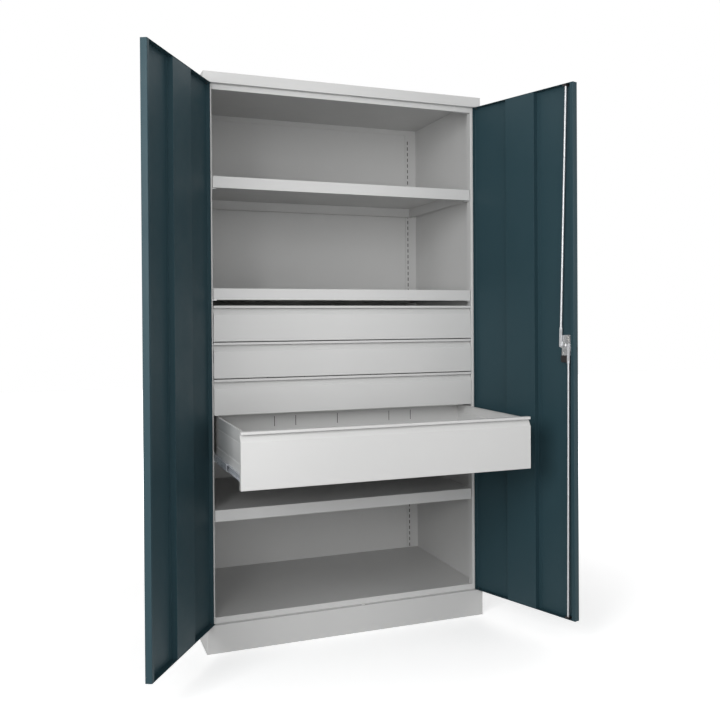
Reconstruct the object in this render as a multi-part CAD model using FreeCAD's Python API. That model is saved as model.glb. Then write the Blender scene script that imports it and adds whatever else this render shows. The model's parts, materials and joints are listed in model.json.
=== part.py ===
"""Steel storage cabinet with two hinged doors, three shelves and four telescopic drawers.

Millimetres. X runs to the right, Y to the back, Z up. The origin lies on the floor, at the
centre of the cabinet's footprint. Every piece is drawn with the doors and drawers closed.
The doors and the lowest drawer are then set to their resting pose, which is open.
"""
import FreeCAD
import Part
import math
import os

os.makedirs("parts", exist_ok=True)

# Cabinet body
cabinet_width = 1020.0
cabinet_depth = 670.0
cabinet_height = 1950.0
body_sheet = 1.0
plinth_sheet = 1.5
corner_radius = 2.0
bend_radius = 0.8
plinth_height = 95.0
plinth_flange = 35.0
top_height = 36.0
frame_setback = 22.0
frame_seat = 15.0

# Door frame: posts, top rail and the folded front of the base shelf
post_width = 30.0
post_depth = 33.0
post_return = 11.0
post_side_leg = 18.0
top_rail_height = 18.0
top_rail_depth = 20.0
base_rail_height = 19.5
base_rail_lip = 4.0
base_rail_return = 12.0
base_floor_height = 13.0

# Slotted strips on the back panel
strip_width = 49.0
strip_depth = 4.0
rear_band_height = 20.0
slot_pitch = 25.0
slot_width = 4.0
slot_height = 15.0
slot_inset = 11.0
slot_first = 25.0

# Shelves and their clips
shelf_undersides = (1566.0, 1187.5, 437.0)
shelf_height = 39.0
shelf_sheet = 1.0
shelf_side_gap = 2.0
shelf_front_gap = 2.0
shelf_rear_gap = 5.0
shelf_return = 12.0
clip_sheet = 1.5
clip_width = 12.0
clip_tongue = 16.0
clip_leg = 14.0
clip_post_inset = 18.0

# Doors
door_sheet = 1.0
door_rest_gap = 1.0
door_centre_gap = 3.0
door_end_gap = 2.0
door_hinge_flange = 14.0
door_lip_width = 14.0
door_ear_cut = 8.0
stiffener_width = 140.0
stiffener_foot = 15.0
stiffener_inset = 1.0
left_door_open = 119.2
right_door_open = 107.1

# Hinge pins
pivot_from_side = 13.0
pivot_from_front = 7.0
pin_diameter = 6.0
pin_head_across = 10.0
pin_head_height = 4.0
pin_reach = 3.0
pin_collar_diameter = 13.0

# Drawers
drawer_top = 1168.0
drawer_front_heights = (122.0, 122.0, 122.0, 172.0)
drawer_front_gap = 3.0
drawer_side_gap = 2.0
drawer_sheet = 1.0
drawer_front_depth = 22.0
grip_lip_height = 8.0
grip_depth = 16.0
grip_slope_height = 23.0
front_bottom_return = 12.0
tray_length = 540.0
tray_above_front_bottom = 21.0
tray_below_front_top = 3.0
tray_rim = 6.0
tray_band_depth = 1.5
tray_band_low_share = 0.30
tray_band_high_share = 0.78
divider_slit_places = (-252.0, -175.0, -20.0, 180.0, 266.0)
divider_slit_width = 2.5
divider_slit_height = 36.0
divider_slit_drop = 14.0
open_drawer = 4
open_drawer_travel = 467.0

# Telescopic runners, three members each
runner_space = 13.0
runner_height = 26.0
runner_sheet = 1.2
runner_length = 550.0
runner_web_gap = 2.9
runner_ball_gap = 0.4
runner_front_gap = 3.0
runner_centre_height = 9.0
bracket_sheet = 1.0
bracket_height = 40.0
bracket_front_inset = 3.0
bracket_rear_flange = 16.0

# Rod lock, on the inner face of the right door; places are measured from the hinge end
spindle_place = 458.0
spindle_height = 1027.0
spindle_diameter = 10.0
lock_case_width = 38.0
lock_case_before_spindle = 16.0
lock_case_rise = 35.0
lock_case_fall = 35.0
lock_case_depth = 7.0
cylinder_drop = 48.0
cylinder_diameter = 12.0
cylinder_face = 2.0
cylinder_end_gap = 1.0
keyway_width = 2.0
keyway_height = 8.0
keyway_depth = 8.0
lock_cover_width = 28.0
lock_cover_shift = 2.0
lock_cover_height = 23.0
lock_cover_depth = 12.0
lock_cover_sheet = 2.0
cam_sheet = 2.0
cam_arm = 18.0
cam_end_reach = 8.0
cam_end_half_height = 5.0
cam_hub_half_height = 13.0
cam_hub_half_width = 7.0
rod_diameter = 7.0
rod_head_thickness = 2.5
rod_head_radius = 5.5
rod_head_length = 61.0
rod_head_overlap = 8.0
rivet_diameter = 8.0
rivet_height = 1.2
rod_guide_place = 469.0
rod_top_setback = 4.0
rod_bottom_setback = 6.0
rod_guide_width = 16.0
rod_slot_length = 14.0
rod_slot_width = 11.0
rod_guide_length = 6.0
bolt_height = 15.0
bolt_drop = 13.5
bolt_sheet = 4.0
bolt_tip_setback = 6.0
bolt_length = 40.0
handle_plate_width = 38.0
handle_plate_top = 30.0
handle_plate_bottom = 70.0
handle_plate_sheet = 3.0
handle_plate_corner = 6.0
handle_reach = 74.0
handle_tail = 10.0
handle_width = 20.0
handle_thickness = 12.0
handle_standoff = 14.0
handle_neck_diameter = 16.0
handle_end_radius = 9.5

# Clearances
touch_gap = 0.1
turning_gap = 0.1
sliding_gap = 0.4
seat_gap = 0.2
cutout_gap = 1.0
rod_hole_gap = 1.5
cam_gap = 0.3

# Derived places
half_width = cabinet_width / 2
front = -cabinet_depth / 2
back = cabinet_depth / 2
body_top = cabinet_height - top_height
frame_face = front + frame_setback
panel_inside = half_width - body_sheet
back_inside = back - body_sheet
ceiling = cabinet_height - body_sheet
post_inside = panel_inside - post_width
strip_face = back_inside - strip_depth
strip_top = ceiling - rear_band_height
base_floor = plinth_height + base_floor_height
door_depth = frame_setback - door_rest_gap
door_length = half_width - door_centre_gap / 2
door_bottom = plinth_height + door_end_gap
door_top = body_top - door_end_gap
pivot_x = half_width - pivot_from_side
pivot_y = front + pivot_from_front
front_half_width = post_inside - drawer_side_gap
tray_half_width = post_inside - bracket_sheet - runner_space
tray_front = frame_face + drawer_front_depth
tray_back = tray_front + tray_length
runner_outside = post_inside - bracket_sheet
runner_front = tray_front + runner_front_gap
cam_level = door_sheet + lock_case_depth + cam_gap
rod_level = cam_level + cam_sheet + seat_gap


def vector(x, y, z):
    return FreeCAD.Vector(x, y, z)


def block(x_limits, y_limits, z_limits):
    """Box between two limits on each axis, given in either order."""
    low = [min(pair) for pair in (x_limits, y_limits, z_limits)]
    high = [max(pair) for pair in (x_limits, y_limits, z_limits)]
    size = [b - a for a, b in zip(low, high)]
    return Part.makeBox(size[0], size[1], size[2], vector(*low))


def cylinder(start, direction, length, diameter):
    return Part.makeCylinder(diameter / 2, length, start, direction)


def join(shapes):
    """One solid from pieces that touch or overlap."""
    first = shapes[0]
    return first.fuse(shapes[1:]).removeSplitter()


def rounded_block(x_limits, y_limits, z_limits, radius):
    """Box with rounded upright edges."""
    solid = block(x_limits, y_limits, z_limits)
    upright = [e for e in solid.Edges if abs(e.tangentAt(e.FirstParameter).z) > 0.99]
    return solid.makeFillet(radius, upright)


def on_xy(a, b):
    return vector(a, b, 0)


def on_xz(a, b):
    return vector(a, 0, b)


def on_yz(a, b):
    return vector(0, a, b)


def unit(a, b):
    length = math.hypot(b[0] - a[0], b[1] - a[1])
    return (b[0] - a[0]) / length, (b[1] - a[1]) / length


def left_of(point, direction, distance):
    return point[0] - direction[1] * distance, point[1] + direction[0] * distance


def shifted(point, direction, distance):
    return point[0] + direction[0] * distance, point[1] + direction[1] * distance


def bend(before, corner, after, thickness, radius):
    """Both sides of one bend of a folded sheet: one point each if it is sharp, else three of an arc."""
    ahead = unit(before, corner)
    turned = unit(corner, after)
    cosine = ahead[0] * turned[0] + ahead[1] * turned[1]
    bisector = ((ahead[0] + turned[0]) / (1 + cosine), (ahead[1] + turned[1]) / (1 + cosine))
    far_corner = left_of(corner, bisector, thickness)
    if radius == 0:
        return (corner,), (far_corner,)
    turn = math.atan2(ahead[0] * turned[1] - ahead[1] * turned[0], cosine)
    inward = unit(ahead, turned)
    near_radius = radius + thickness if turn > 0 else radius
    far_radius = radius if turn > 0 else radius + thickness
    sides = []
    for tip, size in ((corner, near_radius), (far_corner, far_radius)):
        tangent = size * math.tan(abs(turn) / 2)
        middle = shifted(tip, inward, size / math.cos(turn / 2) - size)
        sides.append((shifted(tip, ahead, -tangent), middle, shifted(tip, turned, tangent)))
    return tuple(sides)


def folded(points, thickness, place, along, rounded=()):
    """Folded sheet: a path of straight runs, thickened to its left, then extruded.

    Bends are counted from 1. Those named in rounded get the bend radius and the others are sharp.
    """
    near = [(points[0],)]
    far = [(left_of(points[0], unit(points[0], points[1]), thickness),)]
    for number, corners in enumerate(zip(points, points[1:], points[2:]), 1):
        near_side, far_side = bend(*corners, thickness, bend_radius if number in rounded else 0)
        near.append(near_side)
        far.append(far_side)
    near.append((points[-1],))
    far.append((left_of(points[-1], unit(points[-2], points[-1]), thickness),))
    outline = near + [side[::-1] for side in far[::-1]]
    edges = []
    for side, following in zip(outline, outline[1:] + outline[:1]):
        if len(side) == 3:
            edges.append(Part.Arc(*[place(*point) for point in side]).toShape())
        if math.dist(side[-1], following[0]) > 1e-7:
            edges.append(Part.makeLine(place(*side[-1]), place(*following[0])))
    return Part.Face(Part.Wire(edges)).extrude(along)


def polygon(points, place, along):
    corners = [place(*p) for p in points]
    return Part.Face(Part.makePolygon(corners + corners[:1])).extrude(along)


def mirrored(shape):
    return shape.mirror(vector(0, 0, 0), vector(1, 0, 0))


def both_sides(shape):
    """The piece drawn on the right and its mirror image on the left."""
    return Part.makeCompound([shape, mirrored(shape)])


def save(name, shape):
    for solid in shape.Solids:
        assert solid.isValid() and solid.Volume > 0, name
    shape.exportStep("parts/" + name + ".step")


# Body


def pivot_holes(z_limits):
    """Drills for both upper hinge pins."""
    low, high = z_limits
    size = pin_diameter + 2 * touch_gap
    drill = cylinder(vector(pivot_x, pivot_y, low), vector(0, 0, 1), high - low, size)
    return both_sides(drill)


def rod_slot(z_limits):
    """Slot for a lock rod. The same one is in the door's flange and in the frame behind it."""
    along = (rod_guide_place - rod_slot_length / 2, rod_guide_place + rod_slot_length / 2)
    across = (rod_centre() - rod_slot_width / 2, rod_centre() + rod_slot_width / 2)
    return door_block(along, across, z_limits)


def rod_centre():
    """Distance of the rod axis from the door's outer face."""
    return rod_level + rod_head_thickness / 2


def plinth():
    """Ring of upright sheets, with a flange turned in at the top and one at the bottom."""
    t = plinth_sheet
    outside = rounded_block((-half_width, half_width), (front, back), (0, plinth_height), corner_radius)
    inside = block((-half_width + t, half_width - t), (front + t, back - t), (t, plinth_height - t))
    low_window = block(
        (-half_width + plinth_flange, half_width - plinth_flange),
        (front + plinth_flange, back - plinth_flange),
        (0, t),
    )
    high_window = block(
        (-half_width + plinth_flange, half_width - plinth_flange),
        (frame_face + plinth_flange, back - plinth_flange),
        (plinth_height - t, plinth_height),
    )
    slot = rod_slot((plinth_height - t, plinth_height))
    return outside.cut([inside, low_window, high_window, slot])


def side_panel():
    return block((panel_inside, half_width), (frame_face, back), (plinth_height, body_top))


def back_panel():
    return block((-panel_inside, panel_inside), (back_inside, back), (plinth_height, body_top))


def top_cover():
    """Pan turned down on all sides. Its front edge turns in again above the doors."""
    outside = rounded_block(
        (-half_width, half_width), (front, back), (body_top, cabinet_height), corner_radius
    )
    inside = block(
        (-panel_inside, panel_inside), (front + body_sheet, back_inside), (body_top + body_sheet, ceiling)
    )
    mouth = block(
        (-panel_inside, panel_inside),
        (frame_face + frame_seat, back_inside),
        (body_top, body_top + body_sheet),
    )
    flange = (body_top, body_top + body_sheet)
    return outside.cut([inside, mouth, pivot_holes(flange), rod_slot(flange)])


def front_post():
    """Channel behind the front edge of the side panel."""
    path = [
        (post_inside + post_return, frame_face + post_depth),
        (post_inside, frame_face + post_depth),
        (post_inside, frame_face),
        (panel_inside, frame_face),
        (panel_inside, frame_face + post_side_leg),
    ]
    height = body_top - plinth_height
    post = folded(path, body_sheet, on_xy, vector(0, 0, height), rounded=(2,))
    return post.translated(vector(0, 0, plinth_height))


def top_rail():
    path = [
        (frame_face + top_rail_depth, body_top),
        (frame_face, body_top),
        (frame_face, body_top - top_rail_height),
        (frame_face + top_rail_depth, body_top - top_rail_height),
    ]
    reach = post_inside - touch_gap
    return folded(path, body_sheet, on_yz, vector(2 * reach, 0, 0)).translated(vector(-reach, 0, 0))


def base_shelf():
    """Floor of the cabinet, folded up and over at the front into the rail between the posts."""
    rail_top = plinth_height + base_rail_height
    path = [
        (back_inside - strip_depth, base_floor),
        (frame_face + base_rail_lip, base_floor),
        (frame_face + base_rail_lip, rail_top),
        (frame_face, rail_top),
        (frame_face, plinth_height),
        (frame_face + base_rail_return, plinth_height),
    ]
    reach = post_inside - touch_gap
    middle = folded(path, body_sheet, on_yz, vector(2 * reach, 0, 0))
    middle = middle.translated(vector(-reach, 0, 0))
    wide = panel_inside - touch_gap
    behind_post = frame_face + post_depth + touch_gap
    strip_inside = panel_inside - strip_width - touch_gap
    floor_level = (base_floor - body_sheet, base_floor)
    side_floor = block((-wide, wide), (behind_post, strip_face - touch_gap), floor_level)
    rear_floor = block((-strip_inside, strip_inside), (behind_post, back_inside), floor_level)
    upright = (plinth_height, base_floor - body_sheet)
    side_flange = block((wide - body_sheet, wide), (behind_post, strip_face - touch_gap), upright)
    rear_flange = block((-strip_inside, strip_inside), (back_inside - body_sheet, back_inside), upright)
    return join([middle, side_floor, rear_floor, side_flange, mirrored(side_flange), rear_flange])


def rear_strip():
    """Shallow channel on the back panel with a ladder of slots for the shelf clips."""
    inner = panel_inside - strip_width
    outer = panel_inside - touch_gap
    path = [(inner, back_inside), (inner, strip_face), (outer, strip_face), (outer, back_inside)]
    bottom = plinth_height
    strip = folded(path, body_sheet, on_xy, vector(0, 0, strip_top - bottom))
    strip = strip.translated(vector(0, 0, bottom))
    count = int((strip_top - bottom - 2 * slot_first) // slot_pitch) + 1
    centre = inner + slot_inset
    depth = (strip_face, strip_face + body_sheet)
    slots = []
    for number in range(count):
        middle = bottom + slot_first + number * slot_pitch
        height = (middle - slot_height / 2, middle + slot_height / 2)
        slots.append(block((centre - slot_width / 2, centre + slot_width / 2), depth, height))
    return strip.cut(slots)


def rear_band():
    """Folded band above the slotted strips, under the top cover."""
    path = [
        (back_inside, ceiling),
        (strip_face, ceiling),
        (strip_face, strip_top),
        (back_inside, strip_top),
    ]
    reach = panel_inside - touch_gap
    return folded(path, body_sheet, on_yz, vector(2 * reach, 0, 0)).translated(vector(-reach, 0, 0))


def hexagon(centre, across_flats, height):
    """Upright six-sided prism on a centre point."""
    radius = across_flats / math.sqrt(3)
    corners = []
    for number in range(6):
        angle = math.radians(60 * number)
        corners.append((centre.x + radius * math.cos(angle), centre.y + radius * math.sin(angle)))
    return polygon(corners, on_xy, vector(0, 0, height)).translated(vector(0, 0, centre.z))


def hinge_pins():
    """Two bolts with heads behind the top flange, and two studs with a collar on the plinth."""
    up = vector(0, 0, 1)
    top_low = door_top - door_sheet - pin_reach
    top_high = body_top + body_sheet
    bolt = join(
        [
            cylinder(vector(pivot_x, pivot_y, top_low), up, top_high - top_low, pin_diameter),
            hexagon(vector(pivot_x, pivot_y, top_high), pin_head_across, pin_head_height),
        ]
    )
    start = vector(pivot_x, pivot_y, plinth_height)
    stud = join(
        [
            cylinder(start, up, door_bottom + door_sheet + pin_reach - plinth_height, pin_diameter),
            cylinder(start, up, door_end_gap - seat_gap, pin_collar_diameter),
        ]
    )
    return Part.makeCompound([bolt, mirrored(bolt), stud, mirrored(stud)])


# Shelves


def shelf(underside):
    """Pan with all edges turned down. Front and rear edges turn in again at the bottom."""
    half = post_inside - shelf_side_gap
    near = frame_face + shelf_front_gap
    far = strip_face - shelf_rear_gap
    top = underside + shelf_height
    t = shelf_sheet
    outside = rounded_block((-half, half), (near, far), (underside, top), corner_radius)
    inside = block((-half + t, half - t), (near + t, far - t), (underside + t, top - t))
    mouth = block(
        (-half + t, half - t),
        (near + shelf_return, far - shelf_return),
        (underside, underside + t),
    )
    return outside.cut([inside, mouth])


def shelf_clips(underside):
    """Four bent clips: two on the posts, two in the slotted strips."""
    t = clip_sheet
    tongue = underside - seat_gap - t
    outer = post_inside - touch_gap
    post_path = [(outer - clip_tongue, tongue), (outer, tongue), (outer, tongue + clip_leg)]
    near = frame_face + clip_post_inset
    post_clip = folded(post_path, t, on_xz, vector(0, clip_width, 0)).translated(vector(0, near, 0))
    far = strip_face - touch_gap
    strip_path = [(far - clip_tongue, tongue), (far, tongue), (far, tongue + clip_leg)]
    slot_middle = panel_inside - strip_width + slot_inset
    strip_clip = folded(strip_path, t, on_yz, vector(clip_width, 0, 0)).translated(
        vector(slot_middle - clip_width / 2, 0, 0)
    )
    pieces = [post_clip, strip_clip]
    return Part.makeCompound(pieces + [mirrored(piece) for piece in pieces])


# Drawers and runners, drawn closed


def drawer_limits(number):
    """Bottom and top of the front of drawer 1 to 4."""
    above = sum(drawer_front_heights[: number - 1]) + (number - 1) * drawer_front_gap
    top = drawer_top - above
    return top - drawer_front_heights[number - 1], top


def runner_centre(number):
    return drawer_limits(number)[0] + tray_above_front_bottom + runner_centre_height


def drawer_front(number):
    """Folded front with a grip: a lip, a recess under it, and a slope out to the face."""
    bottom, top = drawer_limits(number)
    lip_bottom = top - grip_lip_height
    path = [
        (tray_front, top),
        (frame_face, top),
        (frame_face, lip_bottom),
        (frame_face + grip_depth, lip_bottom),
        (frame_face, lip_bottom - grip_slope_height),
        (frame_face, bottom),
        (frame_face + front_bottom_return, bottom),
    ]
    width = 2 * front_half_width
    sheet = folded(path, drawer_sheet, on_yz, vector(width, 0, 0), rounded=(1, 4, 5)).translated(
        vector(-front_half_width, 0, 0)
    )
    radius = bend_radius + drawer_sheet
    end_points = [
        (tray_front, bottom),
        (tray_front, top),
        (frame_face + radius, top),
        (frame_face + radius, lip_bottom),
        (frame_face + grip_depth, lip_bottom),
        (frame_face + radius, lip_bottom - grip_slope_height * (1 - radius / grip_depth)),
        (frame_face + radius, bottom),
    ]
    end = polygon(end_points, on_yz, vector(drawer_sheet, 0, 0)).translated(
        vector(front_half_width - drawer_sheet, 0, 0)
    )
    return join([sheet, end, mirrored(end)])


def drawer_tray(number):
    """Folded trough with embossed sides, closed by a front and a rear wall."""
    front_bottom, front_top = drawer_limits(number)
    low = front_bottom + tray_above_front_bottom
    high = front_top - tray_below_front_top
    height = high - low
    side = tray_half_width
    band = side - tray_band_depth
    band_low = low + height * tray_band_low_share
    band_high = low + height * tray_band_high_share
    right_half = [
        (side, low),
        (side, band_low),
        (band, band_low + tray_band_depth),
        (band, band_high),
        (side, band_high + tray_band_depth),
        (side, high),
        (side - tray_rim, high),
    ]
    left_half = [(-x, z) for x, z in reversed(right_half)]
    t = drawer_sheet
    trough = folded(left_half + right_half, t, on_xz, vector(0, tray_length, 0)).translated(
        vector(0, tray_front, 0)
    )
    inner = band - t
    rear_path = [
        (tray_back, low + t),
        (tray_back, high),
        (tray_back - tray_rim, high),
    ]
    width = 2 * inner
    rear = folded(rear_path, t, on_yz, vector(width, 0, 0)).translated(vector(-inner, 0, 0))
    seat = front_top - drawer_sheet - touch_gap
    face = block((-inner, inner), (tray_front, tray_front + t), (low + t, seat))
    slits = []
    for place in divider_slit_places:
        slit_top = high - divider_slit_drop
        slits.append(
            block(
                (place - divider_slit_width / 2, place + divider_slit_width / 2),
                (tray_back - t, tray_back),
                (slit_top - divider_slit_height, slit_top),
            )
        )
    return join([trough, rear.cut(slits), face])


def runner_member(path, number, near, length):
    centre = runner_centre(number)
    points = [(x, centre + z) for x, z in path]
    member = folded(points, runner_sheet, on_xz, vector(0, length, 0))
    return both_sides(member.translated(vector(0, near, 0)))


def cabinet_rail(number):
    """Outer member, fixed to the bracket, open towards the drawer."""
    reach = runner_height / 2
    lip = tray_half_width + runner_web_gap
    path = [(lip, -reach), (runner_outside, -reach), (runner_outside, reach), (lip, reach)]
    return runner_member(path, number, runner_front, runner_length)


def middle_rail(number):
    """Middle member, which runs out half as far as the drawer."""
    reach = runner_height / 2 - runner_sheet - runner_ball_gap
    web = runner_outside - runner_sheet - runner_web_gap
    lip = tray_half_width + runner_sheet + runner_ball_gap
    path = [(lip, -reach), (web, -reach), (web, reach), (lip, reach)]
    return runner_member(path, number, runner_front, runner_length)


def drawer_rail(number):
    """Inner member, fixed to the side of the drawer, open towards the cabinet."""
    reach = runner_height / 2 - 2 * (runner_sheet + runner_ball_gap)
    web = runner_outside - runner_sheet - runner_web_gap
    lip = web - runner_sheet - runner_ball_gap
    path = [(lip, reach), (tray_half_width, reach), (tray_half_width, -reach), (lip, -reach)]
    return runner_member(path, number, tray_front + touch_gap, tray_length - 2 * touch_gap)


def runner_bracket(number):
    """Long bracket from the post to the slotted strip, which carries the outer member."""
    centre = runner_centre(number)
    far = strip_face - touch_gap
    path = [
        (runner_outside + bracket_rear_flange, far),
        (runner_outside, far),
        (runner_outside, frame_face + bracket_front_inset),
    ]
    plate = folded(path, bracket_sheet, on_xy, vector(0, 0, bracket_height))
    return both_sides(plate.translated(vector(0, 0, centre - bracket_height / 2)))


# Doors. They are drawn closed on the right: the distance from the hinge end runs along -X.


def door_vector(along, depth, z):
    return vector(half_width - along, front + depth, z)


def door_block(along_limits, depth_limits, z_limits):
    return block(
        tuple(half_width - a for a in along_limits), tuple(front + d for d in depth_limits), z_limits
    )


def door_cylinder(along, depth, z, length, diameter):
    """Cylinder with its axis square to the door, from a depth inwards."""
    return cylinder(door_vector(along, depth, z), vector(0, 1, 0), length, diameter)


def on_door_plan(along, depth):
    """Plan view of the door, mirrored so that a left turn stays a left turn."""
    return vector(-half_width + along, front + depth, 0)


def door_panel(with_rods):
    """Folded leaf with flanges at the hinge, the free edge, the top and the bottom."""
    path = [
        (0, door_hinge_flange),
        (0, 0),
        (door_length, 0),
        (door_length, door_depth),
        (door_length - door_lip_width, door_depth),
    ]
    height = door_top - door_bottom
    leaf = mirrored(folded(path, door_sheet, on_door_plan, vector(0, 0, height), rounded=(1, 2, 3)))
    leaf = leaf.translated(vector(0, 0, door_bottom))
    outline = [
        (corner_radius, door_sheet / 2),
        (door_length - corner_radius, door_sheet / 2),
        (door_length - corner_radius, door_depth),
        (door_ear_cut, door_depth),
        (door_sheet / 2, door_depth - door_ear_cut),
        (door_sheet / 2, corner_radius),
    ]
    flange = mirrored(polygon(outline, on_door_plan, vector(0, 0, door_sheet)))
    low = flange.translated(vector(0, 0, door_bottom))
    high = flange.translated(vector(0, 0, door_top - door_sheet))
    drill = cylinder(
        vector(pivot_x, pivot_y, door_bottom), vector(0, 0, 1), height, pin_diameter + 2 * turning_gap
    )
    panel = join([leaf, low, high]).cut(drill)
    if with_rods:
        panel = panel.cut(lock_openings())
    return panel


def door_stiffener():
    """Wide hat channel down the middle of the leaf."""
    start = (door_length - stiffener_width) / 2
    end = start + stiffener_width
    crown = door_depth - stiffener_inset - door_sheet
    path = [
        (start - stiffener_foot, door_sheet),
        (start, door_sheet),
        (start, crown),
        (end, crown),
        (end, door_sheet),
        (end + stiffener_foot, door_sheet),
    ]
    height = door_top - door_bottom - 2 * door_sheet - 2 * touch_gap
    hat = mirrored(folded(path, door_sheet, on_door_plan, vector(0, 0, height)))
    return hat.translated(vector(0, 0, door_bottom + door_sheet + touch_gap))


# Lock, on the right door


def lock_openings():
    """Openings of the lock in the right door, covered by the plate, the case and the rod guides."""
    leaf = (0, door_sheet)
    openings = []
    for z, diameter in (
        (spindle_height, spindle_diameter),
        (spindle_height - cylinder_drop, cylinder_diameter),
    ):
        half = diameter / 2 + cutout_gap
        openings.append(door_block((spindle_place - half, spindle_place + half), leaf, (z - half, z + half)))
    bolt_z = spindle_height - bolt_drop
    reach = bolt_height / 2 + sliding_gap
    bolt_slot = door_block(
        (door_length - door_sheet, door_length),
        (bolt_depth() - sliding_gap, bolt_depth() + bolt_sheet + sliding_gap),
        (bolt_z - reach, bolt_z + reach),
    )
    openings.append(bolt_slot)
    openings.append(rod_slot((door_bottom, door_bottom + door_sheet)))
    openings.append(rod_slot((door_top - door_sheet, door_top)))
    return openings


def bolt_depth():
    """Distance of the bolt from the door's outer face."""
    return door_sheet + (lock_case_depth - bolt_sheet) / 2


def lock_case():
    """Case on the leaf, with a bore for the spindle and a slot for the side bolt."""
    left = spindle_place - lock_case_before_spindle
    right = left + lock_case_width
    depth = (door_sheet, door_sheet + lock_case_depth)
    height = (spindle_height - lock_case_fall, spindle_height + lock_case_rise)
    case = door_block((left, right), depth, height)
    bolt_z = spindle_height - bolt_drop
    reach = bolt_height / 2 + sliding_gap
    slot = door_block(
        (bolt_tail() - sliding_gap, right),
        (bolt_depth() - sliding_gap, bolt_depth() + bolt_sheet + sliding_gap),
        (bolt_z - reach, bolt_z + reach),
    )
    bore = door_cylinder(
        spindle_place, door_sheet, spindle_height, lock_case_depth, spindle_diameter + 2 * turning_gap
    )
    return case.cut([slot, bore])


def bolt_tail():
    return door_length - bolt_tip_setback - bolt_length


def lock_cover():
    """Dark housing of the key cylinder, under the case."""
    half = lock_cover_width / 2
    top = spindle_height - lock_case_fall - touch_gap
    housing = door_block(
        (spindle_place - lock_cover_shift - half, spindle_place - lock_cover_shift + half),
        (door_sheet, door_sheet + lock_cover_depth),
        (top - lock_cover_height, top),
    )
    bore = door_cylinder(
        spindle_place,
        door_sheet,
        spindle_height - cylinder_drop,
        lock_cover_depth - lock_cover_sheet,
        cylinder_diameter + 2 * turning_gap,
    )
    return housing.cut(bore)


def rod_guides():
    """Square guides with a round bore, behind the slots in the flanges of the right door."""
    half = rod_guide_width / 2
    along = (rod_guide_place - half, rod_guide_place + half)
    across = (rod_centre() - half, rod_centre() + half)
    guides = []
    for start, end in (
        (door_bottom + door_sheet, door_bottom + door_sheet + rod_guide_length),
        (door_top - door_sheet - rod_guide_length, door_top - door_sheet),
    ):
        bore_start = door_vector(rod_guide_place, rod_centre(), start)
        bore = cylinder(bore_start, vector(0, 0, 1), rod_guide_length, rod_diameter + 2 * rod_hole_gap)
        guides.append(door_block(along, across, (start, end)).cut(bore))
    return Part.makeCompound(guides)


def handle_plate():
    """Plate on the outer face with bores for the handle and the key cylinder."""
    half = handle_plate_width / 2
    plate = door_block(
        (spindle_place - half, spindle_place + half),
        (-handle_plate_sheet, 0),
        (spindle_height - handle_plate_bottom, spindle_height + handle_plate_top),
    )
    across = [e for e in plate.Edges if abs(e.tangentAt(e.FirstParameter).y) > 0.99]
    plate = plate.makeChamfer(handle_plate_corner, across)
    holes = [
        door_cylinder(
            spindle_place,
            -handle_plate_sheet,
            spindle_height,
            handle_plate_sheet,
            spindle_diameter + 2 * turning_gap,
        ),
        door_cylinder(
            spindle_place,
            -handle_plate_sheet,
            spindle_height - cylinder_drop,
            handle_plate_sheet,
            cylinder_diameter + 2 * turning_gap,
        ),
    ]
    return plate.cut(holes)


def handle():
    """Lever on a neck, with the spindle that passes through the door to the cam."""
    bar_outside = -handle_plate_sheet - handle_standoff - handle_thickness
    bar = door_block(
        (spindle_place - handle_reach, spindle_place + handle_tail),
        (bar_outside, bar_outside + handle_thickness),
        (spindle_height - handle_width / 2, spindle_height + handle_width / 2),
    )
    across = [e for e in bar.Edges if abs(e.tangentAt(e.FirstParameter).y) > 0.99]
    bar = bar.makeFillet(handle_end_radius, across)
    neck_start = bar_outside + handle_thickness
    neck_length = -handle_plate_sheet - touch_gap - neck_start
    neck = door_cylinder(spindle_place, neck_start, spindle_height, neck_length, handle_neck_diameter)
    spindle_length = cam_level + cam_sheet - neck_start
    spindle = door_cylinder(spindle_place, neck_start, spindle_height, spindle_length, spindle_diameter)
    return join([bar, neck, spindle])


def lock_cam():
    """Plate on the spindle, widest at its middle. Its two arms drive the rods."""
    reach = cam_arm + cam_end_reach
    upper = [
        (reach, cam_end_half_height),
        (cam_hub_half_width, cam_hub_half_height),
        (-cam_hub_half_width, cam_hub_half_height),
        (-reach, cam_end_half_height),
    ]
    outline = upper + [(-x, -z) for x, z in upper]
    centre = door_vector(spindle_place, cam_level, spindle_height)
    plate = polygon(outline, on_xz, vector(0, cam_sheet, 0)).translated(centre)
    return plate.cut(door_cylinder(spindle_place, cam_level, spindle_height, cam_sheet, spindle_diameter))


def key_cylinder():
    """Plug of the lock, with a keyway in its outer face."""
    start = -handle_plate_sheet - cylinder_face
    z = spindle_height - cylinder_drop
    housing = lock_cover_depth - lock_cover_sheet - cylinder_end_gap
    length = cylinder_face + handle_plate_sheet + door_sheet + housing
    plug = door_cylinder(spindle_place, start, z, length, cylinder_diameter)
    keyway = door_block(
        (spindle_place - keyway_width / 2, spindle_place + keyway_width / 2),
        (start, start + keyway_depth),
        (z - keyway_height / 2, z + keyway_height / 2),
    )
    return plug.cut(keyway)


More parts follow.
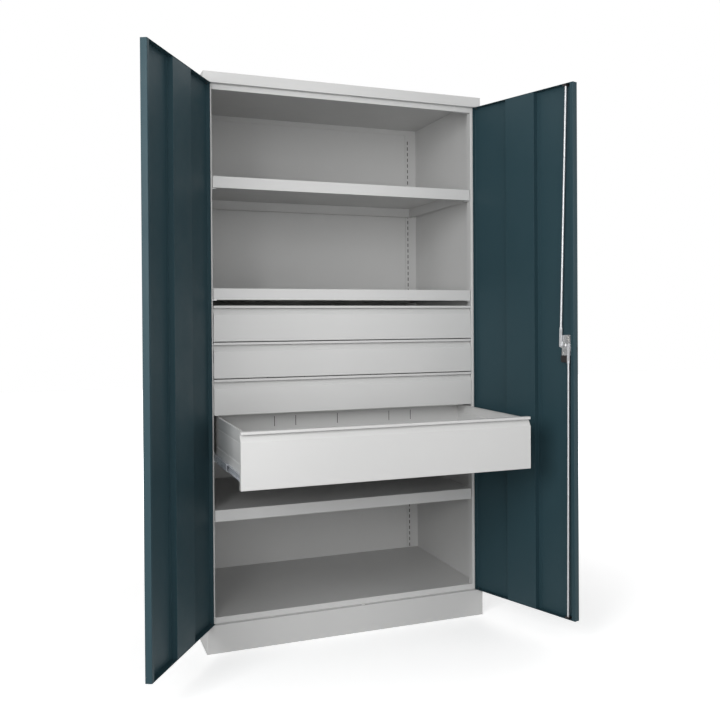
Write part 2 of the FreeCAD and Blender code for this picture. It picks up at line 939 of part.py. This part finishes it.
def lock_rod(arm_direction, far_place, far_end):
    """Round rod with a flat head that is riveted to one arm of the cam."""
    head_place = spindle_place + arm_direction * cam_arm
    toward = 1 if far_end > spindle_height else -1
    begin = door_vector(head_place, rod_centre(), spindle_height)
    finish = door_vector(far_place, rod_centre(), far_end)
    direction = (finish - begin).normalize()
    neck = begin + direction * (rod_head_length - rod_head_overlap)
    bar = cylinder(neck, direction, (finish - neck).Length, rod_diameter)
    strip = door_block(
        (head_place - rod_head_radius, head_place + rod_head_radius),
        (rod_level, rod_level + rod_head_thickness),
        (spindle_height, spindle_height + toward * rod_head_length),
    )
    lean = math.degrees(math.atan2(finish.x - begin.x, abs(finish.z - begin.z)))
    strip = strip.rotated(begin, vector(0, 1, 0), toward * lean)
    eye = door_cylinder(head_place, rod_level, spindle_height, rod_head_thickness, 2 * rod_head_radius)
    rivet_level = rod_level + rod_head_thickness
    rivet = door_cylinder(head_place, rivet_level, spindle_height, rivet_height, rivet_diameter)
    return join([bar, strip, eye, rivet])


def side_bolt():
    """Flat bolt that slides out through the free edge of the right door."""
    z = spindle_height - bolt_drop
    return door_block(
        (bolt_tail(), bolt_tail() + bolt_length),
        (bolt_depth(), bolt_depth() + bolt_sheet),
        (z - bolt_height / 2, z + bolt_height / 2),
    )


# Resting pose


def swung_right(shape):
    return shape.rotated(vector(pivot_x, pivot_y, 0), vector(0, 0, 1), right_door_open)


def swung_left(shape):
    """Mirror image of a piece of the right door, swung open on the left."""
    return mirrored(shape).rotated(vector(-pivot_x, pivot_y, 0), vector(0, 0, 1), -left_door_open)


def drawn_out(shape, number, share=1.0):
    travel = open_drawer_travel * share if number == open_drawer else 0.0
    return shape.translated(vector(0, -travel, 0))


def main():
    save("plinth", plinth())
    save("side_panel_right", side_panel())
    save("side_panel_left", mirrored(side_panel()))
    save("back_panel", back_panel())
    save("top_cover", top_cover())
    save("front_post_right", front_post())
    save("front_post_left", mirrored(front_post()))
    save("top_rail", top_rail())
    save("base_shelf", base_shelf())
    save("rear_strip_right", rear_strip())
    save("rear_strip_left", mirrored(rear_strip()))
    save("rear_band", rear_band())
    save("hinge_pins", hinge_pins())
    for number, underside in enumerate(shelf_undersides, 1):
        save(f"shelf_{number}", shelf(underside))
        save(f"shelf_clips_{number}", shelf_clips(underside))
    for number in range(1, len(drawer_front_heights) + 1):
        save(f"drawer_{number}_front", drawn_out(drawer_front(number), number))
        save(f"drawer_{number}_tray", drawn_out(drawer_tray(number), number))
        save(f"drawer_{number}_rails", drawn_out(drawer_rail(number), number))
        save(f"middle_rails_{number}", drawn_out(middle_rail(number), number, 0.5))
        save(f"cabinet_rails_{number}", cabinet_rail(number))
        save(f"runner_brackets_{number}", runner_bracket(number))
    save("left_door_panel", swung_left(door_panel(False)))
    save("left_door_stiffener", swung_left(door_stiffener()))
    save("right_door_panel", swung_right(door_panel(True)))
    save("right_door_stiffener", swung_right(door_stiffener()))
    save("lock_case", swung_right(lock_case()))
    save("lock_cover", swung_right(lock_cover()))
    save("rod_guides", swung_right(rod_guides()))
    save("handle_plate", swung_right(handle_plate()))
    save("handle", swung_right(handle()))
    save("lock_cam", swung_right(lock_cam()))
    save("key_cylinder", swung_right(key_cylinder()))
    upper = lock_rod(-1, rod_guide_place, door_top - rod_top_setback)
    lower = lock_rod(1, rod_guide_place, door_bottom + rod_bottom_setback)
    save("upper_rod", swung_right(upper))
    save("lower_rod", swung_right(lower))
    save("side_bolt", swung_right(side_bolt()))


main()
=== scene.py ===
"""Looks of the steel storage cabinet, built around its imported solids.

Lengths are in metres. The cabinet stands on z = 0 and faces towards -y.
"""
import json
import math
from itertools import product

import bmesh
import bpy
import numpy as np
from mathutils import Matrix


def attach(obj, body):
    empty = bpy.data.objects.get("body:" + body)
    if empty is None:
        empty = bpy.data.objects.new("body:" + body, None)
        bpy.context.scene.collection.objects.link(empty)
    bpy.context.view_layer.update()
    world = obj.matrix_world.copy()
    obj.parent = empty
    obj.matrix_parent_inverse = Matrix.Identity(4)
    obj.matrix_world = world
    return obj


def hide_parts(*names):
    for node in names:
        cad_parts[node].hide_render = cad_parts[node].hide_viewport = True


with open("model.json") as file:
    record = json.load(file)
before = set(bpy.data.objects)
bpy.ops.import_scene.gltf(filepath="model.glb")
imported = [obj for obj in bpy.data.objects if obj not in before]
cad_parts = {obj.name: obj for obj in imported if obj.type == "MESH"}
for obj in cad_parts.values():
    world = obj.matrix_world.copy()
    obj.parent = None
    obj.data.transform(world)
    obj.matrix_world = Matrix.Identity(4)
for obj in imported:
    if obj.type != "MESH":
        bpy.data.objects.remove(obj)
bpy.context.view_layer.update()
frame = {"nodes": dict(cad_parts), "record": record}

# Camera, solved from the straight edges of the cabinet; pixels of a 720 by 720 picture
PICTURE_SIZE = 720
FOCAL_PIXELS = 912.98
AXIS_PIXEL = (447.90, 325.44)
EYE = (-0.9765, -3.4471, 1.1211)
YAW = 23.4735
PITCH = -0.4828
ROLL = -0.3209
SENSOR = 36.0
CLIP_END = 100

# Colours, linear
BODY_GREY = (0.61, 0.61, 0.605, 1)
DOOR_PETROL = (0.022, 0.053, 0.066, 1)
ZINC = (0.80, 0.80, 0.81, 1)
DULL_ZINC = (0.46, 0.47, 0.45, 1)
BLACK = (0.016, 0.013, 0.013, 1)
NICKEL = (0.66, 0.64, 0.60, 1)
RUNNER_ZINC = (0.60, 0.62, 0.66, 1)
ROD_ZINC = (0.68, 0.69, 0.71, 1)
OILED_STEEL = (0.05, 0.06, 0.065, 1)
# Painted shade: near black, for thin sheets set behind slots and slits where only shade falls
SHADOW = (0.05, 0.05, 0.048, 1)
WHITE = (1, 1, 1, 1)

# Textures of the finishes: scale and detail of their noise
COAT_CLOUDS = (3.0, 4.0)
COAT_GRAIN = (900.0, 2.0)
COAT_SHEEN = (9.0, 3.0)
ORANGE_PEEL = (420.0, 2.0)
PLATE_PATCHES = (60.0, 3.0)
DRAWN_STREAKS = (1400.0, 2.0)
STREAK_STRETCH = (1.0, 0.06, 0.06)
NOISE_LOW = 0.3
NOISE_HIGH = 0.7
GRAIN_TONE = 0.985
SHEEN_SPREAD = (-0.04, 0.05)
STREAK_ROUGHNESS = (0.24, 0.42)
RELIEF_DEPTH = 0.00005


# Node trees


def link(tree, source, socket_name, target, target_name):
    tree.links.new(source.outputs[socket_name], target.inputs[target_name])


def set_values(node, values):
    """Sets inputs of a node by their labels."""
    for label, value in values.items():
        node.inputs[label].default_value = value


def combined(tree, operation, first, second):
    """Result of a math node on two sockets."""
    node = tree.nodes.new("ShaderNodeMath")
    node.operation = operation
    tree.links.new(first, node.inputs[0])
    tree.links.new(second, node.inputs[1])
    return node.outputs[0]


def ramp(tree, value, low, high, start=0.0, end=1.0):
    """Carries a value between start and end to the limits low and high, numbers or sockets."""
    node = tree.nodes.new("ShaderNodeMapRange")
    tree.links.new(value, node.inputs["Value"])
    set_values(node, {"From Min": start, "From Max": end})
    for limit, socket in ((low, "To Min"), (high, "To Max")):
        if isinstance(limit, float):
            node.inputs[socket].default_value = limit
        else:
            tree.links.new(limit, node.inputs[socket])
    return node.outputs["Result"]


def noise(tree, vector, texture):
    """Noise of a texture given as (scale, detail)."""
    node = tree.nodes.new("ShaderNodeTexNoise")
    set_values(node, dict(zip(("Scale", "Detail"), texture)))
    tree.links.new(vector, node.inputs["Vector"])
    return node.outputs["Fac"]


def spread(tree, value, low, high):
    """Noise spread over the limits low and high."""
    return ramp(tree, value, low, high, NOISE_LOW, NOISE_HIGH)


def shaded(tree, colour, factor):
    """The colour times a factor."""
    node = tree.nodes.new("ShaderNodeVectorMath")
    node.operation = "SCALE"
    tree.links.new(colour, node.inputs[0])
    tree.links.new(factor, node.inputs["Scale"])
    return node.outputs["Vector"]


def new_group(name, settings):
    """Empty group from a place, a colour and the given float settings to colour, roughness, height."""
    tree = bpy.data.node_groups.new(name, "ShaderNodeTree")
    for label, kind in (("Vector", "Vector"), ("Colour", "Color")):
        tree.interface.new_socket(label, in_out="INPUT", socket_type="NodeSocket" + kind)
    for label, default in settings.items():
        socket = tree.interface.new_socket(label, in_out="INPUT", socket_type="NodeSocketFloat")
        socket.default_value = default
    for label, kind in (("Colour", "Color"), ("Roughness", "Float"), ("Height", "Float")):
        tree.interface.new_socket(label, in_out="OUTPUT", socket_type="NodeSocket" + kind)
    return tree, tree.nodes.new("NodeGroupInput"), tree.nodes.new("NodeGroupOutput")


def powder_coat_group():
    """Powder coat: fine orange peel, soft cloudy tone and a slightly uneven gloss."""
    tree, entry, out = new_group("Powder coat", {"Tone": 0.97, "Gloss": 0.42})
    place = entry.outputs["Vector"]
    cloud = spread(tree, noise(tree, place, COAT_CLOUDS), entry.outputs["Tone"], 1.0)
    grain = spread(tree, noise(tree, place, COAT_GRAIN), GRAIN_TONE, 1.0)
    tone = combined(tree, "MULTIPLY", cloud, grain)
    tree.links.new(shaded(tree, entry.outputs["Colour"], tone), out.inputs["Colour"])
    sheen = spread(tree, noise(tree, place, COAT_SHEEN), *SHEEN_SPREAD)
    gloss = combined(tree, "ADD", entry.outputs["Gloss"], sheen)
    tree.links.new(gloss, out.inputs["Roughness"])
    tree.links.new(noise(tree, place, ORANGE_PEEL), out.inputs["Height"])
    return tree


def plated_group():
    """Zinc plate: patchy tone and fine drawn streaks along the piece."""
    tree, entry, out = new_group("Plated steel", {"Patch": 0.82})
    place = entry.outputs["Vector"]
    stretch = tree.nodes.new("ShaderNodeMapping")
    stretch.inputs["Scale"].default_value = STREAK_STRETCH
    tree.links.new(place, stretch.inputs["Vector"])
    patch = spread(tree, noise(tree, place, PLATE_PATCHES), entry.outputs["Patch"], 1.0)
    tree.links.new(shaded(tree, entry.outputs["Colour"], patch), out.inputs["Colour"])
    streak = noise(tree, stretch.outputs["Vector"], DRAWN_STREAKS)
    tree.links.new(spread(tree, streak, *STREAK_ROUGHNESS), out.inputs["Roughness"])
    tree.links.new(streak, out.inputs["Height"])
    return tree


# Finishes

COAT = powder_coat_group()
PLATE = plated_group()


def finish(name, group, colour, settings, bump, metallic=0.0, shine=0.5):
    """Material whose colour, roughness and height come from one of the groups."""
    material = bpy.data.materials.new(name)
    material.use_nodes = True
    tree = material.node_tree
    shader = tree.nodes["Principled BSDF"]
    set_values(shader, {"Metallic": metallic, "Specular IOR Level": shine})
    place = tree.nodes.new("ShaderNodeTexCoord")
    effect = tree.nodes.new("ShaderNodeGroup")
    effect.node_tree = group
    set_values(effect, {"Colour": colour, **settings})
    link(tree, place, "Object", effect, "Vector")
    link(tree, effect, "Colour", shader, "Base Color")
    link(tree, effect, "Roughness", shader, "Roughness")
    relief = tree.nodes.new("ShaderNodeBump")
    set_values(relief, {"Strength": bump, "Distance": RELIEF_DEPTH})
    link(tree, effect, "Height", relief, "Height")
    link(tree, relief, "Normal", shader, "Normal")
    return material


def coat(name, colour, tone, gloss, bump, shine=0.5):
    return finish(name, COAT, colour, {"Tone": tone, "Gloss": gloss}, bump, shine=shine)


def plate(name, colour, patch, bump, metallic):
    return finish(name, PLATE, colour, {"Patch": patch}, bump, metallic)


FINISHES = {
    "body_paint": coat("Light grey powder coat", BODY_GREY, 0.965, 0.46, 0.35),
    "door_paint": coat("Petrol powder coat", DOOR_PETROL, 0.94, 0.50, 0.45, shine=0.25),
    "zinc": plate("Bright zinc", ZINC, 0.84, 0.25, 1.0),
    "dull_zinc": plate("Dull zinc", DULL_ZINC, 0.72, 0.35, 0.85),
    "black_plastic": coat("Moulded plastic", BLACK, 0.9, 0.5, 0.6),
    "black_metal": coat("Black powder coat", BLACK, 0.92, 0.40, 0.4),
    "nickel": plate("Nickel", NICKEL, 0.92, 0.15, 1.0),
}

# Finishes of single pieces, where the slot's own look doesn't fit
RUNNER_FINISH = plate("Galvanised runner", RUNNER_ZINC, 0.88, 0.2, 0.35)
ROD_FINISH = plate("Zinc rod", ROD_ZINC, 0.9, 0.2, 0.3)
PIN_FINISH = plate("Oiled pin", OILED_STEEL, 0.9, 0.2, 0.6)
# Painted shade: finish of the dark sheets behind the slits and the slots
SHADOW_FINISH = coat("Painted shade behind the slots", SHADOW, 0.9, 0.8, 0.1)

SLOT_OF = {entry["node"]: entry["material_slot"] for entry in frame["record"]["subparts"]}
BODY_OF = {
    node: body for body, nodes in frame["record"]["behaviour"]["bodies"].items() for node in nodes
}


def finish_of(node):
    if "rails" in node:
        return RUNNER_FINISH
    if node in ("upper_rod", "lower_rod"):
        return ROD_FINISH
    return PIN_FINISH if node == "hinge_pins" else FINISHES[SLOT_OF[node]]


for node, thing in frame["nodes"].items():
    thing.data.materials.clear()
    thing.data.materials.append(finish_of(node))


# Making pieces


def in_scene(name, data):
    """New object in the scene."""
    thing = bpy.data.objects.new(name, data)
    bpy.context.scene.collection.objects.link(thing)
    return thing


def dress(piece, slot, body):
    """Gives a piece its finish and sets it on its body."""
    piece.data.materials.clear()
    piece.data.materials.append(FINISHES[slot])
    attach(piece, body)
    return piece


def new_piece(name, points, faces, slot, body, material=None):
    """Piece from points and faces, in its slot's finish or in the given material."""
    mesh = bpy.data.meshes.new(name)
    mesh.from_pydata([tuple(map(float, point)) for point in points], [], faces)
    piece = dress(in_scene(name, mesh), slot, body)
    if material:
        mesh.materials[0] = material
    return piece


def smooth(mesh, sides=None):
    """Smooth shading on all faces, or only on those with the given number of sides."""
    for face in mesh.polygons:
        face.use_smooth = sides is None or len(face.vertices) == sides


# Sheet pieces with softened edges

EDGE_ROLL = 0.0004
MERGE_DISTANCE = 1e-6
FLAT_ANGLE = math.radians(0.5)
ROLLED_ANGLE = math.radians(50)
SMOOTH_ANGLE = math.radians(40)


def softened(node):
    """Copy of a folded sheet with its sharp edges rolled over by a small bevel, as bent sheet has."""
    mesh = frame["nodes"][node].data.copy()
    solid = bmesh.new()
    solid.from_mesh(mesh)
    bmesh.ops.remove_doubles(solid, verts=solid.verts, dist=MERGE_DISTANCE)
    bmesh.ops.dissolve_limit(solid, angle_limit=FLAT_ANGLE, verts=solid.verts, edges=solid.edges)
    solid.to_mesh(mesh)
    solid.free()
    if mesh.attributes.get("custom_normal"):
        mesh.attributes.remove(mesh.attributes["custom_normal"])
    piece = in_scene(node + "_rolled", mesh)
    bevel = piece.modifiers.new("Rolled edge", "BEVEL")
    bevel.width = EDGE_ROLL
    bevel.segments = 2
    bevel.limit_method = "ANGLE"
    bevel.angle_limit = ROLLED_ANGLE
    bevel.harden_normals = True
    bevel.use_clamp_overlap = True
    smooth(mesh)
    mesh.set_sharp_from_angle(angle=SMOOTH_ANGLE)
    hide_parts(node)
    dress(piece, SLOT_OF[node], BODY_OF[node])


SHEET_NODES = (
    ["plinth", "top_cover", "top_rail", "base_shelf", "front_post_right", "front_post_left"]
    + [f"shelf_{n}" for n in (1, 2, 3)]
    + [f"drawer_{n}_{part}" for n in (1, 2, 3, 4) for part in ("front", "tray")]
    + ["left_door_panel", "right_door_panel", "left_door_stiffener", "right_door_stiffener"]
    + ["lock_case", "lock_cover", "side_bolt", "handle_plate"]
)
for node in SHEET_NODES:
    softened(node)


# Small forms that the solids leave out


def slabs(name, corners, slot, body, material=None):
    """Boxes in one piece, each given by its low and its high corner."""
    sides = ((0, 1, 3, 2), (4, 6, 7, 5), (0, 4, 5, 1), (2, 3, 7, 6), (0, 2, 6, 4), (1, 5, 7, 3))
    points, faces = [], []
    for low, high in corners:
        start = len(points)
        points += product(*zip(low, high))
        faces += [[start + corner for corner in side] for side in sides]
    return new_piece(name, points, faces, slot, body, material)


# Drawer sides: the plane of the recess pressed into them, their limits in depth, and by drawer in height
SIDE_RECESS = 0.4635
SIDE_FRONT = -0.283
SIDE_BACK = 0.241
SIDE_HEIGHTS = {1: (1.067, 1.165), 2: (0.942, 1.040), 3: (0.817, 0.915), 4: (0.642, 0.790)}
RECESS_LOW_SHARE = 0.30
RECESS_HIGH_SHARE = 0.78
RECESS_SLOPE = 0.0015
SWAGE_GROOVE = 0.006
SWAGE_EDGE = 0.003
SWAGE_RISE = 0.0014
SWAGE_STEPS = 6
OPEN_DRAWER = 4
OPEN_TRAVEL = 0.467


def travel_at_rest(number):
    return OPEN_TRAVEL if number == OPEN_DRAWER else 0.0


def side_swage(number, sign):
    """Pressed middle field of a drawer's side, with a groove above and below it in the recess.

    Its rise over the recess is SWAGE_RISE * (3 s^2 - 2 s^3), where s is the distance from its edge
    over SWAGE_EDGE, up to s = 1.
    """
    bottom, top = SIDE_HEIGHTS[number]
    low = bottom + RECESS_LOW_SHARE * (top - bottom) + RECESS_SLOPE + SWAGE_GROOVE
    high = bottom + RECESS_HIGH_SHARE * (top - bottom) - SWAGE_GROOVE
    edge = np.linspace(0.0, SWAGE_EDGE, SWAGE_STEPS)
    s = edge / SWAGE_EDGE
    rise = SWAGE_RISE * (3 * s**2 - 2 * s**3)
    heights = np.concatenate([low + edge, high - edge[::-1]])
    travel = travel_at_rest(number)
    points = []
    for height, out in zip(heights, np.concatenate([rise, rise[::-1]])):
        x = sign * (SIDE_RECESS + out)
        points += [(x, SIDE_FRONT - travel, height), (x, SIDE_BACK - travel, height)]
    faces = []
    for a in range(0, len(points) - 2, 2):
        faces.append((a, a + 2, a + 3, a + 1) if sign < 0 else (a, a + 1, a + 3, a + 2))
    hand = "right" if sign > 0 else "left"
    piece = new_piece(
        f"drawer_{number}_swage_{hand}", points, faces, "body_paint", f"drawer_{number}"
    )
    smooth(piece.data)


for number in SIDE_HEIGHTS:
    for sign in (-1, 1):
        side_swage(number, sign)

# Painted shade: dark strips just behind the slits for dividers in each drawer's rear wall, in place of
# the shade in the slits
SLIT_PLACES = (-0.252, -0.175, -0.020, 0.180, 0.266)
SLIT_HALF_WIDTH = 0.00225
SLIT_DEPTHS = (0.2491, 0.2496)
SLIT_DROPS = (0.051, 0.013)
for number, (bottom, top) in SIDE_HEIGHTS.items():
    near, far = (depth - travel_at_rest(number) for depth in SLIT_DEPTHS)
    low, high = (top - drop for drop in SLIT_DROPS)
    slit_shade_boxes = [((x - SLIT_HALF_WIDTH, near, low), (x + SLIT_HALF_WIDTH, far, high)) for x in SLIT_PLACES]
    slabs(f"drawer_{number}_slit_shadows", slit_shade_boxes, "body_paint", f"drawer_{number}", SHADOW_FINISH)

# Painted shade: a dark strip behind each row of slots in the rear strips, in place of the shade in the
# channel behind them
SLOT_ROW = 0.471
SLOT_HALF_WIDTH = 0.0045
SLOT_DEPTHS = (0.3325, 0.3335)
SLOT_HEIGHTS = (0.100, 1.920)
for side, sign in (("right", 1), ("left", -1)):
    row = (sign * SLOT_ROW - SLOT_HALF_WIDTH, sign * SLOT_ROW + SLOT_HALF_WIDTH)
    shade_strip = tuple(zip(row, SLOT_DEPTHS, SLOT_HEIGHTS))
    slabs(f"slot_painted_shade_{side}", [shade_strip], "body_paint", BODY_OF["back_panel"], SHADOW_FINISH)

# Right door as it stands open
HALF_WIDTH = 0.510
FRONT = -0.335
PIN_PLACE = np.array([HALF_WIDTH - 0.013, FRONT + 0.007, 0.0])
RIGHT_DOOR_OPEN = math.radians(107.1)
DOOR_INWARD = np.array([-math.sin(RIGHT_DOOR_OPEN), math.cos(RIGHT_DOOR_OPEN), 0.0])


def on_right_door(along, depth, height):
    """Point of the open right door: along it from the hinge end, inwards from its outer face."""
    x, y, z = np.array([HALF_WIDTH - along, FRONT + depth, height]) - PIN_PLACE
    cosine, sine = math.cos(RIGHT_DOOR_OPEN), math.sin(RIGHT_DOOR_OPEN)
    return PIN_PLACE + (cosine * x - sine * y, sine * x + cosine * y, z)


def turned_head(name, centre, profile, slot, body, steps=24):
    """Round head on the right door's inner side: a profile of radii r and heights h, turned about
    the axis through the centre, p = centre + h * axis + r * (cos(a) * side + sin(a) * other)."""
    axis = DOOR_INWARD
    side = np.cross(axis, (0.0, 0.0, 1.0))
    other = np.cross(axis, side)
    angles = np.arange(steps) * 2 * math.pi / steps
    ring = np.outer(np.cos(angles), side) + np.outer(np.sin(angles), other)
    points = []
    for radius, height in profile:
        points.extend(centre + height * axis + radius * ring)
    faces = []
    for start in range(0, (len(profile) - 1) * steps, steps):
        for step in range(steps):
            a, b = start + step, start + (step + 1) % steps
            faces.append((a, b, b + steps, a + steps))
    faces.append(tuple(range(len(points) - steps, len(points))))
    faces.append(tuple(reversed(range(steps))))
    smooth(new_piece(name, points, faces, slot, body).data, sides=4)


# Screws and rivet of the lock: along the door, height; profiles as (radius, height)
SCREW = [(0.0028, 0.0), (0.0028, 0.0006), (0.0022, 0.0012), (0.0010, 0.0015)]
SPINDLE_END = [(0.0062, 0.0), (0.0058, 0.0008), (0.0040, 0.0014), (0.0015, 0.0016)]
LOCK_SCREWS = {"top": (0.470, 1.054), "middle": (0.472, 1.045), "low": (0.448, 1.000)}
SPINDLE = (0.458, 1.027)
CASE_FACE = 0.008
CAM_FACE = 0.0103

for name, (along, height) in LOCK_SCREWS.items():
    centre = on_right_door(along, CASE_FACE, height)
    turned_head(f"lock_screw_{name}", centre, SCREW, "nickel", BODY_OF["right_door_panel"])
centre = on_right_door(SPINDLE[0], CAM_FACE, SPINDLE[1])
turned_head("spindle_rivet", centre, SPINDLE_END, "zinc", BODY_OF["handle"])


# Light, floor and camera

WORLD_STRENGTH = 0.30
# Lamps: place, aim, size and watts
LAMPS = {
    "Left light": ((-2.2, -2.6, 1.8), (0.0, 0.0, 1.1), 1.6, 61),
    "Front light": ((-0.6, -4.5, 1.2), (0.0, 0.0, 1.1), 3.0, 52),
    "Top light": ((-0.3, -2.2, 3.2), (0.0, -0.2, 1.2), 1.8, 7),
    "Right light": ((2.5, -2.6, 1.6), (0.0, 0.0, 1.0), 1.6, 9),
    "Back light": ((1.4, 4.2, 1.6), (0.2, 0.3, 1.1), 3.0, 70),
}

# Floor: half its size, its tone to diffuse rays and to the camera, and its glow by distance
FLOOR_REACH = 12.0
FLOOR_TONES = (0.40, 0.90)
FLOOR_LOOKS = {"Roughness": 0.9, "Specular IOR Level": 0.1, "Emission Color": WHITE}
GLOW = (0.45, 1.0)
GLOW_DISTANCES = (0.9, 3.0)


def aimed(name, data, place, right, up, forward):
    """Object that looks along forward, with the given sides to its right and up."""
    turn = Matrix([list(row) for row in np.stack([right, up, -forward], 1)])
    thing = in_scene(name, data)
    thing.matrix_world = Matrix.Translation(place) @ turn.to_4x4()
    return thing


def area_light(name, place, aim, size, power):
    lamp = bpy.data.lights.new(name, "AREA")
    lamp.shape = "SQUARE"
    lamp.size = size
    lamp.energy = power
    direction = np.array(aim) - np.array(place)
    forward = direction / np.linalg.norm(direction)
    right = np.cross(forward, (0, 0, 1))
    right /= np.linalg.norm(right)
    aimed(name, lamp, place, right, np.cross(right, forward), forward)


def ray_mask(tree):
    """1 for rays of the camera, of gloss and of glass, 0 for the rays that light the cabinet."""
    path = tree.nodes.new("ShaderNodeLightPath").outputs
    seen = combined(tree, "MAXIMUM", path["Is Camera Ray"], path["Is Glossy Ray"])
    return combined(tree, "MAXIMUM", seen, path["Is Transmission Ray"])


def white_world():
    """White for the camera, and an even soft light on the cabinet."""
    world = bpy.data.worlds.new("Studio")
    bpy.context.scene.world = world
    world.use_nodes = True
    tree = world.node_tree
    soft = tree.nodes["Background"]
    set_values(soft, {"Color": WHITE, "Strength": WORLD_STRENGTH})
    shown = tree.nodes.new("ShaderNodeBackground")
    set_values(shown, {"Color": WHITE})
    mix = tree.nodes.new("ShaderNodeMixShader")
    tree.links.new(ray_mask(tree), mix.inputs["Fac"])
    tree.links.new(soft.outputs[0], mix.inputs[1])
    tree.links.new(shown.outputs[0], mix.inputs[2])
    tree.links.new(mix.outputs[0], tree.nodes["World Output"].inputs["Surface"])


def pale_floor():
    """White to the camera and to gloss, with the cabinet's soft shadow, and duller to diffuse rays.

    Far from the cabinet the floor glows white, so that it runs into the white background.
    """
    size = FLOOR_REACH
    corners = [(-size, -size, 0), (size, -size, 0), (size, size, 0), (-size, size, 0)]
    mesh = bpy.data.meshes.new("floor")
    mesh.from_pydata(corners, [], [(0, 1, 2, 3)])
    floor = in_scene("floor", mesh)
    material = bpy.data.materials.new("Pale floor")
    material.use_nodes = True
    tree = material.node_tree
    shader = tree.nodes["Principled BSDF"]
    set_values(shader, FLOOR_LOOKS)
    mask = ray_mask(tree)
    tree.links.new(ramp(tree, mask, *FLOOR_TONES), shader.inputs["Base Color"])
    place = tree.nodes.new("ShaderNodeTexCoord")
    distance = tree.nodes.new("ShaderNodeVectorMath")
    distance.operation = "LENGTH"
    tree.links.new(place.outputs["Object"], distance.inputs[0])
    glow = ramp(tree, distance.outputs["Value"], *GLOW, *GLOW_DISTANCES)
    shown = combined(tree, "MULTIPLY", glow, mask)
    tree.links.new(shown, shader.inputs["Emission Strength"])
    mesh.materials.append(material)


def set_camera():
    """Camera with the solved place, turn, focal length and picture shift."""
    yaw, pitch, roll = np.radians([YAW, PITCH, ROLL])
    forward = np.array(
        [math.sin(yaw) * math.cos(pitch), math.cos(yaw) * math.cos(pitch), math.sin(pitch)]
    )
    level = np.array([math.cos(yaw), -math.sin(yaw), 0.0])
    upright = np.cross(level, forward)
    right = math.cos(roll) * level + math.sin(roll) * upright
    up = -math.sin(roll) * level + math.cos(roll) * upright
    data = bpy.data.cameras.new("Camera")
    data.sensor_width = SENSOR
    data.lens = FOCAL_PIXELS / PICTURE_SIZE * SENSOR
    middle = (PICTURE_SIZE - 1) / 2
    data.shift_x = (middle - AXIS_PIXEL[0]) / PICTURE_SIZE
    data.shift_y = (AXIS_PIXEL[1] - middle) / PICTURE_SIZE
    data.clip_end = CLIP_END
    bpy.context.scene.camera = aimed("Camera", data, EYE, right, up, forward)


white_world()
for name, lamp in LAMPS.items():
    area_light(name, *lamp)
pale_floor()
set_camera()
bpy.context.scene.view_settings.view_transform = "Standard"
